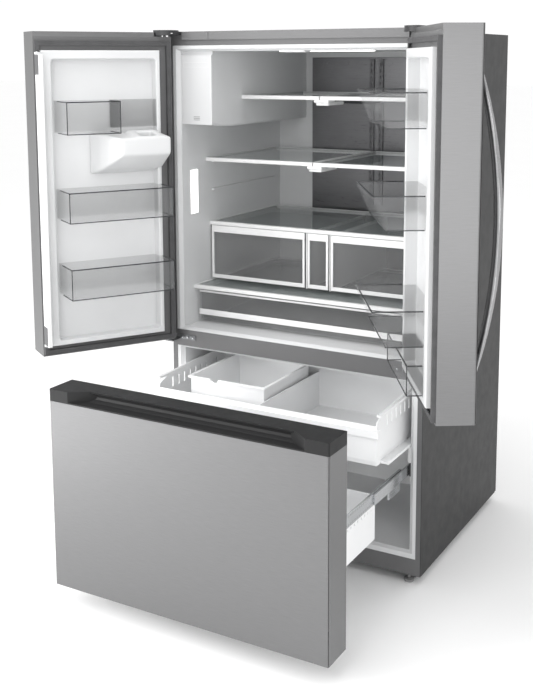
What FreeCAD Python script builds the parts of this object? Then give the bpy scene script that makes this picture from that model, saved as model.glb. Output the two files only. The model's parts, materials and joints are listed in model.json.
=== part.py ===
"""French door refrigerator with a bottom freezer drawer, built closed and then set open.

Frame: X to the right, Y to the back, Z up, millimetres.  Every piece is drawn as if the
refrigerator were shut, with y = 0 on the front face of the cabinet, x = 0 on its middle plane and
z = 0 on the floor.  Each body is then placed where it stands when the object is at rest: both
doors swung open, the freezer drawer out, and the whole object moved so that the frame's origin is
in the middle of its footprint.

Door pieces are laid out with u, the distance in from the hinge-side edge, and v, the distance
forward from the door's back face.  Negative v reaches into the food compartment.
"""

import FreeCAD, Part
import os
import re

from FreeCAD import Placement, Rotation, Vector

LEFT, RIGHT = -1, 1

DIMENSIONS = {
    # cabinet
    "case_width": 905, "case_low": 30, "case_top": 1684, "case_back": 742, "sheet_metal": 1.2,
    "rear_reach": 765, "frame_depth": 12.3, "post_width": 17, "liner_wall": 2,
    "cavity_half": 412, "fridge_floor": 712, "fridge_ceiling": 1631, "fridge_back": 670,
    "fridge_sill": 703, "fridge_lintel": 1649, "freezer_lintel": 648, "freezer_sill": 83,
    "freezer_floor": 105, "freezer_ceiling": 640, "freezer_back": 590, "freezer_low_back": 480,
    "freezer_step": 356, "machine_front": 536, "machine_top": 300, "trim_low": 1666.5,
    "trim_top": 1693, "wrapper_lap": 12, "pan_thick": 2, "machine_lid": 52, "duct_board": 12,
    "back_inset": 6, "lip_set": 1, "flare_side": 14, "flare_low": 7, "flare_top": 8,
    "rib_front": 190, "rib_back": 620, "rib_reach": 8, "rib_root": 0.5, "trim_inset": 58,
    "trim_seam": 160, "trim_gap": 0.6, "trim_reach": 7, "trim_depth": 70, "cover_width": 57,
    "cover_back": 74, "cover_lift": 4, "cover_height": 17, "cover_wall": 3, "plate_thick": 3,
    "plate_width": 30, "arm_thick": 15, "arm_width": 92, "screw_radius": 4.5, "washer_radius": 9,
    # doors
    "door_gap": 12, "door_width": 449, "door_thick": 103.6, "door_low": 681, "door_top": 1690,
    "door_open": 122, "hinge_inset": 11.7, "hinge_forward": 36.5, "hinge_pin": 5, "arm_low": 671,
    "pin_clearance": 0.05, "cover_radius": 46, "recess_radius": 52, "recess_floor": 1676,
    "dike_height": 22, "dike_hinge": 48, "dike_free_left": 431, "dike_free_right": 414,
    "dike_low": 716, "dike_top": 1633, "recess_depth": 18, "gasket_width": 14,
    "gasket_thick": 11.4, "handle_low": 803, "handle_top": 1580, "handle_reach": 60,
    "handle_width": 36, "handle_centre": 415, "handle_thick": 17, "handle_root": 40,
    "handle_bevel": 5, "stud_radius": 3, "stud_inset": 16, "door_round": 7, "core_inset": 0.6,
    "border_hinge": 14, "border_free": 30, "border_low": 16, "border_top": 27, "recess_wall": 2.5,
    "recess_round": 10, "gasket_hinge": 6, "gasket_free": 2, "gasket_low": 688,
    "gasket_top": 1661, "gasket_lip": 5,
    # bins
    "bin_wall": 2.4, "bin_hinge_end": 50, "bin_free_end": 388, "bin_depth_left": 120,
    "bin_depth_right": 158, "bin_foot_right": 122, "bin_taper": 12, "bin_seat": 4,
    "tray_split": 218, "tray_hinge_end": 64, "tray_low": 1381, "tray_shallow_low": 1392,
    "tray_top": 1480, "small_bin_depth": 66,
    # flip mullion
    "mullion_thick": 12.5, "mullion_span": 47.5, "mullion_low": 724, "mullion_top": 1621,
    "mullion_pin": 2.5, "mullion_round": 5.5,
    # freezer drawer
    "drawer_out": 510, "front_thick": 101, "front_half": 452, "front_low": 68, "steel_top": 630,
    "cap_top": 665.5, "slide_start": 18, "slide_length": 460, "slide_low": 340, "slide_top": 382,
    "liner_reach": 26, "ledge_low": 418, "ledge_top": 434,
    "upper_basket_out": 230, "upper_basket_front": 45, "upper_basket_back": 445,
    "basket_low": 438, "basket_side": 597, "basket_half": 384, "basket_wall": 3,
    "lower_basket_front": 14.1, "lower_basket_back": 346, "lower_basket_low": 205,
    "lower_basket_top": 342.9, "front_round": 6, "cap_round": 5, "front_liner_half": 408,
    "front_liner_low": 112, "front_liner_top": 612, "front_liner_root": 22, "front_pan_half": 368,
    "front_pan_low": 150, "front_pan_top": 590, "seal_half": 446, "seal_low": 74, "seal_top": 661,
    "seal_width": 14, "seal_lip": 5, "ledge_inner": 398, "ledge_back": 560, "groove_low": 356,
    "groove_top": 366, "hook_front": 390, "hook_back": 470, "hook_drop": 26, "rim_half": 393,
    "rim_low": 524, "rim_top": 546, "rail_half": 410, "rail_top": 446, "slot_low": 540,
    "slot_top": 572, "ice_left": -286, "ice_inner": -16, "ice_floor": 441.5, "ice_top": 600,
    "ice_wall": 2.6, "lower_half": 372, "wing_half": 398, "wing_thick": 4,
    # shelves and drawers of the food compartment
    "shelf_upper": 1485, "shelf_lower": 1273, "shelf_upper_front": 200, "shelf_lower_front": 152,
    "rib_low": 1156, "rib_height": 7, "shelf_trim": 13, "shelf_glass": 5, "shelf_back": 640,
    "cover_top": 1050,
    "cover_front": 172, "deli_cover_top": 844, "deli_cover_front": 70, "deli_front": 90,
    "drawer_wall": 2.4, "crisper_low": 852, "crisper_top": 1036, "drawer_back": 600,
    "crisper_side": 8, "crisper_sill": 13, "crisper_head": 23, "crisper_face": 9,
    "divider": 3, "deli_half": 404, "deli_tub_half": 402, "deli_rail_low": 740,
    "deli_rail_top": 760, "deli_top": 824, "deli_face": 7, "deli_post": 6,
    # ice maker
    "ice_right": 296, "ice_low": 1385, "ice_front": 14, "ice_cover_low": 1394,
    "ice_cover_top": 1619, "ice_cover_back": 22, "ice_wall_thick": 8, "ice_round": 9,
    "chute_left": -385, "chute_right": -325, "chute_front": 60, "chute_back": 130,
    # base
    "axle_y": 700, "axle_z": 13, "axle_radius": 4, "wheel_radius": 13, "runner_low": 5,
    "runner_near": 30, "runner_far": 52, "runner_wall": 2, "foot_inset": 45, "foot_y": 22,
    # machine compartment
    "compressor_x": 200, "compressor_y": 640, "coil_left": -330, "coil_right": -130,
    "coil_front": 570, "coil_back": 700, "coil_low": 50, "coil_top": 190, "tube_radius": 4,
    "fin": 2, "vent_low": 120, "vent_top": 250, "vent_half": 2, "inlet_x": -350,
    "inlet_out": 13, "inlet_low": 62, "spigot_radius": 3.2, "socket_x": 326,
    # cold-air parts
    "evaporator_half": 250, "evaporator_front": 604, "evaporator_back": 660,
    "evaporator_low": 390, "evaporator_top": 540, "panel_left": -268, "panel_low": 760,
    "strip_low": 1070, "strip_top": 1604, "strip_width": 18, "strip_thick": 6,
    "lamp_low": 1090, "lamp_top": 1236, "lamp_near": 60, "lamp_far": 99,
    # outside dispenser, in u, v and z of the left door
    "bezel_near": 95, "bezel_far": 305, "bezel_low": 985, "bezel_top": 1400, "well_near": 118,
    "well_far": 282, "well_low": 1010, "well_top": 1250, "well_back": 32.5, "well_wall": 2.5,
    "paddle_v": 46, "paddle_z": 1212, "paddle_near": 176, "paddle_far": 224, "ear": 4,
    # gaps: between pieces of one body that sit against each other, and behind the liners
    "seat": 0.1, "foam_gap": 0.2, "liner_fit": 0.3, "liner_gap": 2.3,
    # how far a cutting block runs past what it cuts
    "past": 5,
}
HALF = "case_width / 2"

doc = FreeCAD.newDocument("refrigerator")
sheet = doc.addObject("Spreadsheet::Sheet", "Dims")
for row, (alias, number) in enumerate(DIMENSIONS.items(), 1):
    sheet.set(f"A{row}", alias)
    sheet.set(f"B{row}", str(number))
    sheet.setAlias(f"B{row}", alias)
doc.recompute()


class Values:
    """The same dimensions as plain numbers, for sketches and placements."""


d = Values()
for alias in DIMENSIONS:
    setattr(d, alias, float(sheet.get(alias)))
half = d.case_width / 2

ALIAS = re.compile(r"\b(" + "|".join(sorted(DIMENSIONS, key=len, reverse=True)) + r")\b")


def bind(thing, prop, expression):
    """Ties a property to a formula of the sheet's aliases."""
    thing.setExpression(prop, ALIAS.sub(r"Dims.\1", str(expression)))


def add(kind, name):
    return doc.addObject(kind, name)


# ------------------------------------------------------------------ shapes
def block(x, y, z, name="block"):
    """A box between the formulas in x, y and z, each a (low, high) pair."""
    box = add("Part::Box", name)
    for side, base, (low, high) in (("Length", "x", x), ("Width", "y", y), ("Height", "z", z)):
        bind(box, side, f"({high}) - ({low})")
        bind(box, f"Placement.Base.{base}", f"({low})")
    return box


AXES = {"x": Rotation(Vector(0, 1, 0), 90), "y": Rotation(Vector(1, 0, 0), -90), "z": Rotation()}


def rod(axis, radius, start, length, name="rod"):
    """A cylinder along an axis from the point start, three formulas."""
    cylinder = add("Part::Cylinder", name)
    cylinder.Placement.Rotation = AXES[axis]
    bind(cylinder, "Radius", radius)
    bind(cylinder, "Height", length)
    for base, formula in zip("xyz", start):
        bind(cylinder, f"Placement.Base.{base}", f"({formula})")
    return cylinder


def taper(front, back, y, name="taper"):
    """A frustum along Y: front and back are (x low, x high, z low, z high) at the two y values."""
    wedge = add("Part::Wedge", name)
    bind(wedge, "Ymin", y[0])
    bind(wedge, "Ymax", y[1])
    for prop, formula in zip(("Xmin", "Xmax", "Zmin", "Zmax"), front):
        bind(wedge, prop, formula)
    for prop, formula in zip(("X2min", "X2max", "Z2min", "Z2max"), back):
        bind(wedge, prop, formula)
    return wedge


def join(*things, name="join"):
    if len(things) == 1:
        return things[0]
    fusion = add("Part::MultiFuse", name)
    fusion.Shapes = list(things)
    return fusion


def cut(base, *tools, name="cut"):
    result = add("Part::Cut", name)
    result.Base = base
    result.Tool = join(*tools)
    return result


def overlap(base, tool, name="overlap"):
    result = add("Part::Common", name)
    result.Base = base
    result.Tool = tool
    return result


def eased(kind, thing, size, wanted):
    """Fillets or chamfers the edges whose two ends wanted(start, end) accepts."""
    doc.recompute()
    result = add(kind, "eased")
    result.Base = thing
    edges = []
    for number, edge in enumerate(thing.Shape.Edges, 1):
        ends = [vertex.Point for vertex in edge.Vertexes]
        if len(ends) == 2 and wanted(*ends):
            edges.append((number, size, size))
    if not edges:
        raise SystemExit(f"{thing.Name}: no edge to ease")
    result.Edges = edges
    return result


def rounded(thing, radius, wanted):
    return eased("Part::Fillet", thing, radius, wanted)


def bevelled(thing, size, wanted):
    return eased("Part::Chamfer", thing, size, wanted)


def along(axis, near=None):
    """Accepts straight edges along an axis, and only those that near(point) accepts."""
    index = "xyz".index(axis)

    def wanted(start, end):
        run = end - start
        if run.Length < 1e-6 or abs(abs(run[index]) - run.Length) > 1e-6:
            return False
        return near is None or near((start + end) * 0.5)

    return wanted


def polygon(points):
    return [
        Part.LineSegment(Vector(*start, 0), Vector(*end, 0))
        for start, end in zip(points, points[1:] + points[:1])
    ]


def origin_plane(body, role):
    return next(f for f in body.Origin.OriginFeatures if f.Role == role)


def padded(name, role, geometry, start, length):
    """A PartDesign body: a sketch on an origin plane, moved along its normal, and padded."""
    body = add("PartDesign::Body", name)
    sketch = body.newObject("Sketcher::SketchObject", name + "_sketch")
    sketch.AttachmentSupport = (origin_plane(body, role), [""])
    sketch.MapMode = "FlatFace"
    bind(sketch, "AttachmentOffset.Base.z", start)
    for line in geometry:
        sketch.addGeometry(line, False)
    pad = body.newObject("PartDesign::Pad", name + "_pad")
    pad.Profile = sketch
    bind(pad, "Length", length)
    return body


def turned(name, outline, place=Vector()):
    """A PartDesign body turned about its own Z axis from an outline of (radius, height)."""
    body = add("PartDesign::Body", name)
    sketch = body.newObject("Sketcher::SketchObject", name + "_sketch")
    sketch.AttachmentSupport = (origin_plane(body, "XZ_Plane"), [""])
    sketch.MapMode = "FlatFace"
    for line in polygon(outline):
        sketch.addGeometry(line, False)
    revolution = body.newObject("PartDesign::Revolution", name + "_turn")
    revolution.Profile = sketch
    revolution.ReferenceAxis = (sketch, ["V_Axis"])
    revolution.Angle = 360
    body.Placement.Base = place
    return body


def tub(x, y, z, wall, name="tub"):
    """An open-topped box with walls and floor of one thickness."""
    inner = [(f"({low}) + {wall}", f"({high}) - {wall}") for low, high in (x, y)]
    return cut(block(x, y, z), block(*inner, (f"({z[0]}) + {wall}", f"({z[1]}) + 5")), name=name)


def spread(count, low, high):
    """Evenly spaced values, the first and last half a step in from the ends."""
    step = (high - low) / count
    return [low + step * (i + 0.5) for i in range(count)]


# ------------------------------------------------------------------ bodies and where they stand
CENTRE_Y = (d.rear_reach - (d.drawer_out + d.door_gap + d.front_thick)) / 2
SHIFT = Placement(Vector(0, -CENTRE_Y, 0), Rotation())


def swung(side):
    hinge = Vector(side * (half - d.hinge_inset), -d.hinge_forward, 0)
    turn = Rotation(Vector(0, 0, 1), side * d.door_open)
    return SHIFT.multiply(Placement(Vector(), turn, hinge))


def slid(out):
    return SHIFT.multiply(Placement(Vector(0, -out, 0), Rotation()))


STANDS = {
    "cabinet": SHIFT,
    "left_door": swung(LEFT),
    "right_door": swung(RIGHT),
    "freezer_drawer": slid(d.drawer_out),
    "slide_middle": slid(d.drawer_out / 2),
    "upper_basket": slid(d.upper_basket_out),
}
nodes = []


def node(label, stand, *pieces):
    """Names a sub-part and stands it with its body."""
    whole = add("Part::Compound", label)
    whole.Links = list(pieces)
    whole.Label = label
    whole.Placement = STANDS[stand]
    nodes.append(whole)
    return whole


def door_x(side, u0, u1):
    """The x range of a stretch of a door, from the hinge edge's side."""
    if side == LEFT:
        return f"-({HALF}) + ({u0})", f"-({HALF}) + ({u1})"
    return f"({HALF}) - ({u1})", f"({HALF}) - ({u0})"


def door_y(v0, v1):
    return f"-door_gap - ({v1})", f"-door_gap - ({v0})"


def door_block(side, u, v, z):
    return block(door_x(side, *u), door_y(*v), z)


# ------------------------------------------------------------------ cabinet shell
def make_case():
    inner = f"({HALF}) - sheet_metal"
    sides = (f"-({HALF})", HALF)
    shell = cut(
        block(sides, ("0", "case_back - wrapper_lap"), ("case_low", "case_top")),
        block((f"-({inner})", inner), ("-past", "case_back"), ("case_low - past", "case_top - sheet_metal")),
    )
    node("cabinet_wrapper", "cabinet", shell)

    post = f"({HALF}) - post_width"
    rails = [
        block((f"-({inner})", f"-({post})"), ("0", "frame_depth"), ("case_low", "case_top - sheet_metal")),
        block((post, inner), ("0", "frame_depth"), ("case_low", "case_top - sheet_metal")),
    ]
    for low, high in (
        ("fridge_lintel", "case_top - sheet_metal"), ("freezer_lintel", "fridge_sill"),
        ("case_low", "freezer_sill"),
    ):
        rails.append(block((f"-({post})", post), ("0", "frame_depth"), (low, high)))
    node("front_frame", "cabinet", *rails)

    liner = "cavity_half + liner_wall + liner_fit"
    across = (f"-({liner})", liner)
    skin = f"({inner}) - foam_gap"
    front = "frame_depth + foam_gap"
    deep = (front, "case_back - foam_gap")
    low, high = "case_low + pan_thick + foam_gap", "case_top - sheet_metal - foam_gap"
    above = "machine_top + machine_lid"
    foam = [
        block((f"-({skin})", f"-({liner})"), deep, (low, high)),
        block((liner, skin), deep, (low, high)),
        block(across, deep, ("fridge_ceiling + liner_gap", high)),
        block(across, (front, "fridge_back + liner_gap"),
              ("freezer_ceiling + liner_gap", "fridge_floor - liner_gap")),
        block(across, ("fridge_back + liner_gap", deep[1]), (above, "fridge_ceiling + liner_gap")),
        block(across, (front, "freezer_low_back + liner_gap"),
              (low, "freezer_floor - liner_gap")),
        block(across, ("freezer_low_back + liner_gap", "machine_front"), (low, "freezer_step - liner_gap")),
        block(across, ("machine_front", deep[1]), ("machine_top", above)),
        # the duct board behind the freezer's back wall
        block(("-cavity_half + liner_fit", "cavity_half - liner_fit"),
              ("freezer_back + liner_gap", "freezer_back + duct_board"),
              ("freezer_step + liner_fit", "freezer_ceiling - liner_fit")),
    ]
    node("insulation_foam", "cabinet", *foam)
    node("back_panel", "cabinet", block((f"-({skin})", skin), ("case_back", "case_back + sheet_metal"),
                                        ("machine_top + 2", "case_top - back_inset")))


def lip(x_half, z_low, z_high, low_in, high_in):
    """The flared white rim of a compartment's liner, behind the front frame."""
    outer = f"({HALF}) - post_width - liner_fit"
    ring = block((f"-({outer})", outer), ("lip_set", "frame_depth - liner_fit"), (z_low, z_high))
    flare = taper(
        (f"-({x_half}) - flare_side", f"({x_half}) + flare_side",
         f"({low_in}) - flare_low", f"({high_in}) + flare_top"),
        (f"-({x_half})", x_half, low_in, high_in), ("-lip_set", "frame_depth + lip_set"),
    )
    return cut(ring, flare)


def make_liners(guide):
    out = "cavity_half + liner_wall"
    full_out, full_in = (f"-({out})", out), ("-cavity_half", "cavity_half")
    front = ("frame_depth - liner_fit", "fridge_back + liner_wall")
    shell = cut(
        block(full_out, front, ("fridge_floor - liner_wall", "fridge_ceiling + liner_wall")),
        block(full_in, ("-past", "fridge_back"), ("fridge_floor", "fridge_ceiling")),
    )
    ribs = []
    under = "shelf_trim + rib_height + seat"
    for low, sides in (("rib_low", (LEFT, RIGHT)), (f"shelf_lower - ({under})", (LEFT, RIGHT)),
                       (f"shelf_upper - ({under})", (RIGHT,))):
        for side in sides:
            near, far = f"{side} * (cavity_half - rib_reach)", f"{side} * (cavity_half + rib_root)"
            x = (near, far) if side == RIGHT else (far, near)
            ribs.append(block(x, ("rib_front", "rib_back"), (low, f"{low} + rib_height")))
    rim = lip("cavity_half", "fridge_sill + liner_fit", "fridge_lintel - liner_fit", "fridge_floor",
              "fridge_ceiling")
    node("fridge_liner", "cabinet", join(shell, rim, *ribs), guide)

    wall = "liner_wall"
    outer = join(
        block(full_out, (front[0], f"freezer_low_back + {wall}"),
              (f"freezer_floor - {wall}", f"freezer_ceiling + {wall}")),
        block(full_out, (front[0], f"freezer_back + {wall}"),
              (f"freezer_step - {wall}", f"freezer_ceiling + {wall}")),
    )
    inner = join(
        block(full_in, ("-past", "freezer_low_back"), ("freezer_floor", "freezer_ceiling")),
        block(full_in, ("-past", "freezer_back"), ("freezer_step", "freezer_ceiling")),
    )
    rim = lip("cavity_half", "freezer_sill + liner_fit", "freezer_lintel - liner_fit", "freezer_floor",
              "freezer_ceiling")
    node("freezer_liner", "cabinet", join(cut(outer, inner), rim))


def make_top():
    edge = f"({HALF}) - trim_inset"
    seam = f"-({HALF}) + trim_seam"
    caps = []
    for x in ((f"-({edge})", f"({seam}) - trim_gap"), (f"({seam}) + trim_gap", edge)):
        caps.append(join(
            block(x, ("-trim_reach", "trim_depth"), ("case_top + seat", "trim_top")),
            block(x, ("-trim_reach", "-liner_fit"), ("trim_low", "trim_top")),
        ))
    node("top_trim", "cabinet", *caps)

    covers, brackets = [], []
    for side in (LEFT, RIGHT):
        hinge_x = f"{side} * (({HALF}) - hinge_inset)"
        hinge_y = "-hinge_forward"
        disc = rod("z", "cover_radius", (hinge_x, hinge_y, "recess_floor + cover_lift"), "cover_height")
        x = door_x(side, "0", "cover_width")
        arm = block(x, ("-hinge_forward", "cover_back"), ("case_top + seat", "trim_top"))
        keep = block(x, ("-hinge_forward - cover_radius - 1", "cover_back"),
                     ("recess_floor", "trim_top + past"))
        cover = cut(
            overlap(join(disc, arm), keep),
            block(door_x(side, "-1", "cover_width - 2"), ("-hinge_forward - 22", "cover_back - 2"),
                  ("recess_floor - past", "trim_top - cover_wall")),
        )
        covers.append(cover)
        pin = rod("z", "hinge_pin", (hinge_x, hinge_y, "recess_floor - 26"), "33")
        plate_low = "recess_floor + 5.5"
        plate = block(door_x(side, "1", "plate_width"), ("-hinge_forward - 14", "-0.4"),
                      (plate_low, f"{plate_low} + plate_thick"))
        foot = block(door_x(side, "1", "plate_width + 10"), ("-0.8", "60"),
                     ("case_top + seat", "case_top + plate_thick"))
        riser = block(door_x(side, "1", "plate_width"), ("-0.4 - plate_thick", "-0.4"),
                      (plate_low, "case_top + plate_thick"))
        brackets.append(join(pin, plate, foot, riser))
        arm = block(door_x(side, "2", "arm_width"), ("-plate_thick", "-seat"),
                    ("arm_low", "arm_low + arm_thick"))
        shelf = block(door_x(side, "2", "plate_width"), ("-hinge_forward - 12", "-seat"),
                      ("arm_low", "arm_low + 5"))
        post = rod("z", "hinge_pin", (hinge_x, hinge_y, "arm_low + 1"), "33")
        washer = rod("z", "washer_radius", (hinge_x, hinge_y, "arm_low + 4"), "door_low - arm_low - 4.4")
        screws = [
            rod("y", "screw_radius", (f"{side} * (({HALF}) - {place})", "-5.5", "arm_low + 8"), "3")
            for place in (45, 76)
        ]
        brackets.append(join(arm, shelf, post, washer, *screws))
    node("hinge_covers", "cabinet", *covers)
    node("hinge_brackets", "cabinet", *brackets)

    ramp = taper(("-36", "38", "fridge_ceiling - 6", "fridge_ceiling - 0.2"),
                 ("-40", "42", "fridge_ceiling - 3", "fridge_ceiling - 0.2"), ("34", "60"))
    stop = block(("-40", "42"), ("14.5", "34"), ("fridge_ceiling - 3.6", "fridge_ceiling - 0.2"))
    return join(stop, ramp)


# ------------------------------------------------------------------ base and machine compartment
def make_base():
    skin = f"({HALF}) - sheet_metal - foam_gap"
    pan = block((f"-({skin})", skin), ("frame_depth", "case_back - foam_gap"),
                ("case_low", "case_low + pan_thick"))
    runners = []
    for side in (LEFT, RIGHT):
        x = door_x(side, "runner_near", "runner_far")
        channel = cut(
            block(x, ("40", "735"), ("runner_low", "case_low + 1")),
            block(door_x(side, "runner_near + runner_wall", "runner_far - runner_wall"),
                  ("42", "733"), ("runner_low - 1", "case_low - 2")),
            rod("x", "axle_radius + 0.05", (x[0] + " - 1", "axle_y", "axle_z"), "24"),
        )
        runners.append(channel)
    node("base_frame", "cabinet", join(pan, *runners))

    foot = []
    for side in (LEFT, RIGHT):
        x, y = side * (half - d.foot_inset), d.foot_y
        outline = [(0, 0), (14, 0), (16, 3), (16, 9), (7, 12), (5, 12), (5, 29.8), (0, 29.8)]
        foot.append(turned(f"foot_{'left' if side == LEFT else 'right'}", outline, Vector(x, y, 0)))
    node("levelling_feet", "cabinet", *foot)

    rollers = [rod("x", "axle_radius", (f"-({HALF}) + 20", "axle_y", "axle_z"), "case_width - 40")]
    for side in (LEFT, RIGHT):
        x = door_x(side, "runner_near + 3", "runner_far - 3")
        rollers.append(rod("x", "wheel_radius", (x[0], "axle_y", "axle_z"), "16"))
    node("rear_rollers", "cabinet", join(*rollers))

    centre_x, centre_y = d.compressor_x, d.compressor_y
    shell = turned(
        "compressor_shell",
        [(0, 0), (70, 0), (82, 12), (84, 60), (84, 90), (78, 125), (52, 150), (0, 156)],
        Vector(centre_x, centre_y, 46),
    )
    legs = [
        block((f"compressor_x + {dx - 12}", f"compressor_x + {dx + 12}"),
              (f"compressor_y + {dy - 12}", f"compressor_y + {dy + 12}"),
              ("case_low + pan_thick + seat", "52"))
        for dx in (-70, 70)
        for dy in (-60, 60)
    ]
    pipe = rod("z", "5", ("compressor_x + 60", "compressor_y - 40", "160"), "60")
    node("compressor", "cabinet", join(shell, *legs, pipe))

    fins = [
        block((str(x), f"{x} + fin"), ("coil_front", "coil_back"), ("coil_low", "coil_top"))
        for x in spread(22, d.coil_left - 1, d.coil_right - 1)
    ]
    tubes = [
        rod("x", "tube_radius", ("coil_left - 15", f"coil_front + {y}", f"coil_low + {z}"),
            "coil_right - coil_left + 30")
        for y in (30, 65, 100)
        for z in (30, 70, 110)
    ]
    node("condenser_coil", "cabinet", join(*fins, *tubes))

    vents = [
        block((f"{x} - vent_half", f"{x} + vent_half"), ("case_back - 5", "case_back + 8"),
              ("vent_low", "vent_top"))
        for x in spread(26, -300, 300)
    ]
    plate = block(("-cavity_half", "cavity_half"), ("case_back", "case_back + 2"),
                  ("case_low + 3", "machine_top"))

    spout = ("inlet_x", "case_back + inlet_out")
    valve = block(("inlet_x - 22", "inlet_x + 22"), ("case_back + 2 + seat", "rear_reach"),
                  ("inlet_low", "inlet_low + 50"))
    spigot = rod("z", "spigot_radius", (*spout, "inlet_low - 22"), "24")
    nut = rod("z", "7", (*spout, "inlet_low - 4"), "6")
    node("water_inlet", "cabinet", join(valve, nut, spigot))
    socket = cut(
        block(("socket_x - 26", "socket_x + 26"), ("case_back + 2", "case_back + 16"), ("62", "98")),
        block(("socket_x - 22", "socket_x + 22"), ("case_back + 6", "case_back + 20"), ("66", "94")),
    )
    blades = [
        block((f"socket_x + {dx - 1}", f"socket_x + {dx + 1}"), ("case_back + 5", "case_back + 14"),
              (str(low), str(low + 7)))
        for dx, low in ((-11, 72), (11, 72), (0, 82))
    ]
    node("machine_cover", "cabinet", cut(plate, *vents), join(socket, *blades))


def fan(label, x, y, z, radius, count):
    """A hub with swept blades, turning about Y."""
    hub_radius, hub_length, root = 16, 22, 14
    blade_thick, blade_height, blade_pitch, first_turn = 2, 18, 35, 17
    hub = rod("y", hub_radius, (str(x), str(y), str(z)), hub_length)
    pitch = Placement(Vector(root, 0, 0), Rotation(Vector(1, 0, 0), blade_pitch))
    centred = Placement(Vector(0, -blade_thick / 2, -blade_height / 2), Rotation())
    pitch = pitch.multiply(centred)
    for i in range(count):
        blade = add("Part::Box", "blade")
        blade.Length = radius - root
        blade.Width = blade_thick
        blade.Height = blade_height
        turn = Rotation(Vector(0, 1, 0), 360 * i / count + first_turn)
        spin = Placement(Vector(x, y + hub_length / 2, z), turn)
        blade.Placement = spin.multiply(pitch)
        hub = join(hub, blade)
    node(label, "cabinet", hub)


def make_cooling():
    plates = [
        block((str(x), f"{x} + fin"), ("evaporator_front", "evaporator_back"),
              ("evaporator_low", "evaporator_top"))
        for x in spread(30, -d.evaporator_half - 1, d.evaporator_half - 1)
    ]
    tubes = [
        rod("x", "tube_radius", ("-evaporator_half - 12", f"evaporator_front + {y}",
                                 f"evaporator_low + {z}"), "2 * evaporator_half + 24")
        for y in (14, 42)
        for z in (30, 75, 120)
    ]
    node("evaporator", "cabinet", join(*plates, *tubes))
    fan("evaporator_fan", 0, 615, 596, 40, 5)
    fan("condenser_fan", 20, 620, 140, 62, 5)
    panel = block(("panel_left", "cavity_half - 14"), ("fridge_back - 5", "fridge_back - seat"),
                  ("panel_low", "fridge_ceiling - 21"))
    slot_half = 22
    slots = [
        block((str(x - slot_half), str(x + slot_half)), ("fridge_back - 12", "fridge_back - 2"),
              ("fridge_ceiling - 45", "fridge_ceiling - 41"))
        for x in spread(7, -230, 380)
    ]
    node("cooling_panel", "cabinet", cut(panel, *slots))
    strips = []
    for low in (-32, 4):
        holes = [
            block((f"{low} + 6", f"{low} + 12"), ("fridge_back - 15", "fridge_back - 8"),
                  (str(z), str(z + 12)))
            for z in spread(22, d.strip_low + 10, d.strip_top - 14)
        ]
        strip = block((str(low), f"{low} + strip_width"),
                      ("fridge_back - 5 - strip_thick", "fridge_back - 5 - seat"), ("strip_low", "strip_top"))
        strips.append(cut(strip, *holes))
    arms = []
    for front, top in (("shelf_upper_front", "shelf_upper"), ("shelf_lower_front", "shelf_lower")):
        for x in ("-26", "8"):
            low = f"{top} - shelf_trim"
            arms.append(cut(
                block((x, f"{x} + 5"), (f"{front} + 6", "fridge_back - 11 - seat"),
                      (f"{low} - 26", f"{low} - seat")),
                taper((f"{x} - 1", f"{x} + 6", f"{low} - 40", f"{low} - 7"),
                      (f"{x} - 1", f"{x} + 6", f"{low} - 40", f"{low} - 27"),
                      (f"{front} - 5", "fridge_back - 90")),
            ))
    node("shelf_ladder", "cabinet", *strips, *arms)
    lenses = [
        block(x, ("lamp_near", "lamp_far"), ("lamp_low", "lamp_top"))
        for x in (("-cavity_half + seat", "-cavity_half + 2"), ("cavity_half - 2", "cavity_half - seat"))
    ]
    lenses.append(block(("-120", "200"), ("150", "190"), ("fridge_ceiling - 3", "fridge_ceiling - seat")))
    node("light_lenses", "cabinet", *lenses)


def make_ice_maker():
    left, right = "-cavity_half + 0.2", "-ice_right"
    outline = [(22.3, d.fridge_ceiling - 0.3), (22.3, 1396), (70, 1388), (127, 1383),
               (d.fridge_back - 0.3, d.ice_low), (d.fridge_back - 0.3, d.fridge_ceiling - 0.3)]
    body = padded("ice_body", "YZ_Plane", polygon(outline), left, f"{right} - ({left})")
    corner, side = d.ice_cover_low + 6, -d.ice_right - 1
    body = rounded(body, d.ice_round, lambda a, b: max(a.z, b.z) < corner and min(a.x, b.x) > side)
    chamber = block((f"{left} + ice_wall_thick", f"{right} - ice_wall_thick"),
                    ("40", "fridge_back - 20"), ("1420", "1610"))
    chute = block(("chute_left", "chute_right"), ("chute_front", "chute_back"), ("1370", "1430"))
    node("ice_maker", "cabinet", cut(body, chamber, chute))
    cover = block((left, right), ("ice_front", "ice_cover_back"), ("ice_cover_low", "ice_cover_top"))
    cover = rounded(cover, 3, along("z", lambda p: p.y < 15 and p.x > -d.ice_right - 1))
    label = block(("-403", "-306"), ("ice_front - 1", "ice_front + 0.6"), ("1582", "1590"))
    node("ice_maker_cover", "cabinet", cut(cover, label))


# ------------------------------------------------------------------ shelves, covers and their drawers
def shelf(x, front, top):
    """One cantilever shelf: a trim ring and the glass in it."""
    low = f"{top} - shelf_trim"
    inner = (f"({x[0]}) + 9", f"({x[1]}) - 9")
    ring = cut(
        block(x, (front, "shelf_back"), (low, top)),
        block(inner, (f"{front} + 15", "shelf_back - 12"), (f"{top} - 20", f"{top} + 5")),
    )
    seat = block((f"({inner[0]}) - 4", f"({inner[1]}) + 4"),
                 (f"{front} + 11", "shelf_back - 8"), (f"{top} - 1 - shelf_glass", f"{top} - 1"))
    gap = 0.05
    glass = block((f"({inner[0]}) - 4 + {gap}", f"({inner[1]}) + 4 - {gap}"),
                  (f"{front} + 11 + {gap}", f"shelf_back - 8 - {gap}"),
                  (f"{top} - 1 - shelf_glass + {gap}", f"{top} - 1 - {gap}"))
    front_edge = rounded(ring, 3, along("x", lambda p: p.y < 210))
    return glass, cut(front_edge, seat)


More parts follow.
